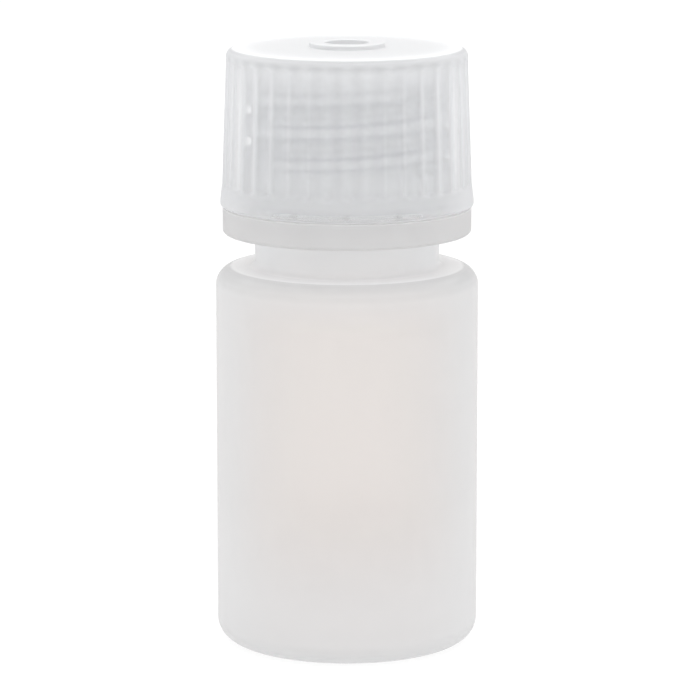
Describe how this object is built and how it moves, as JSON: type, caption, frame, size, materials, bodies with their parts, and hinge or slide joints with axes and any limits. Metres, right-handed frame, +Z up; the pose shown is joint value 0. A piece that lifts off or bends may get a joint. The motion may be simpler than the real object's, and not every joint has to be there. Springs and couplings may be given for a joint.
{
  "type": "reagent bottle",
  "caption": "Small round plastic laboratory bottle with a ribbed screw cap, a tamper ring under it, a short neck and a flat shoulder.",
  "frame": {"origin": "centre of the base, on the surface that the bottle stands on", "axes": "+Z up along the bottle's axis to the mouth, -Y to the front"},
  "size_m": [0.0352, 0.0352, 0.0812],
  "materials": {
    "bottle_plastic": "natural milky polyethylene, satin",
    "cap_plastic": "natural translucent polypropylene, light gloss",
    "liner_foam": "white foamed polyethylene, matt",
    "ring_plastic": "natural translucent polypropylene, satin"
  },
  "bodies": {
    "bottle": {"bottle": "bottle_plastic"},
    "liner": {"liner": "liner_foam"},
    "cap": {"cap": "cap_plastic"},
    "tamper_ring": {"tamper_ring": "ring_plastic", "bridges": "ring_plastic"}
  },
  "joints": [
    {"name": "cap_rise", "type": "slide", "parent": "bottle", "child": "liner", "axis": [0, 0, 1], "range_m": [0, 0.0297]},
    {"name": "cap_turn", "type": "hinge", "parent": "liner", "child": "cap", "pos_m": [0, 0, 0.0778], "axis": [0, 0, 1], "range_deg": [0, 2520]},
    {"name": "ring_drop", "type": "slide", "parent": "bottle", "child": "tamper_ring", "axis": [0, 0, -1], "range_m": [0, 0.0044]}
  ],
  "couplings": [
    {"joint": "cap_rise", "follows": "cap_turn", "m_per_rad": 0.0006737}
  ]
}
